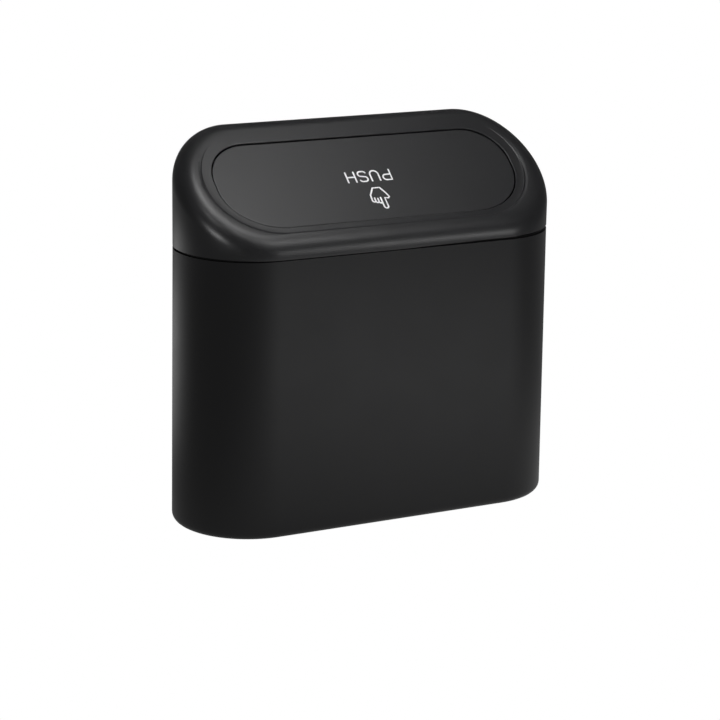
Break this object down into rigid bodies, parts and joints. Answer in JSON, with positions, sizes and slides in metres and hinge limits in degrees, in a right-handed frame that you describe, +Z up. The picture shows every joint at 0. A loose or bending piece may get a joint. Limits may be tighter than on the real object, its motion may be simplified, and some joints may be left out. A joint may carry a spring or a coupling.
{
  "type": "hanging car trash bin",
  "caption": "Slim stadium-plan waste bin for a car, with a slanted sprung push flap, lift-off lid frame and a rear hanging clip.",
  "frame": {"origin": "middle of the flat underside of the tub, on the surface that it stands on", "axes": "+X along the width over the round ends, -Y towards the low front edge of the lid, +Y towards the hanging clip, +Z up"},
  "size_m": [0.16, 0.0701, 0.155],
  "materials": {
    "bin_plastic": "fine moulded grain, satin",
    "flap_plastic": "very fine moulded grain, satin",
    "spring_steel": "drawn wire",
    "white_print": "pad-printed white ink"
  },
  "bodies": {
    "tub": {"body": "bin_plastic"},
    "lid": {"lid_frame": "bin_plastic", "hinge_pin": "spring_steel", "torsion_spring": "spring_steel"},
    "push_flap": {"flap": "flap_plastic"},
    "clip": {"hook_clip": "bin_plastic"}
  },
  "joints": [
    {"name": "lid_lift", "type": "slide", "parent": "tub", "child": "lid", "axis": [0, 0, 1], "range_m": [0, 0.08]},
    {"name": "flap_hinge", "type": "hinge", "parent": "lid", "child": "push_flap", "pos_m": [0, 0.01257, 0.14253], "axis": [1, 0, 0], "range_deg": [0, 65], "stiffness_Nm_per_rad": 0.012, "springref_deg": -34.38, "deforming": ["torsion_spring"]},
    {"name": "clip_slide", "type": "slide", "parent": "tub", "child": "clip", "axis": [0, 0, 1], "range_m": [0, 0.044]}
  ]
}
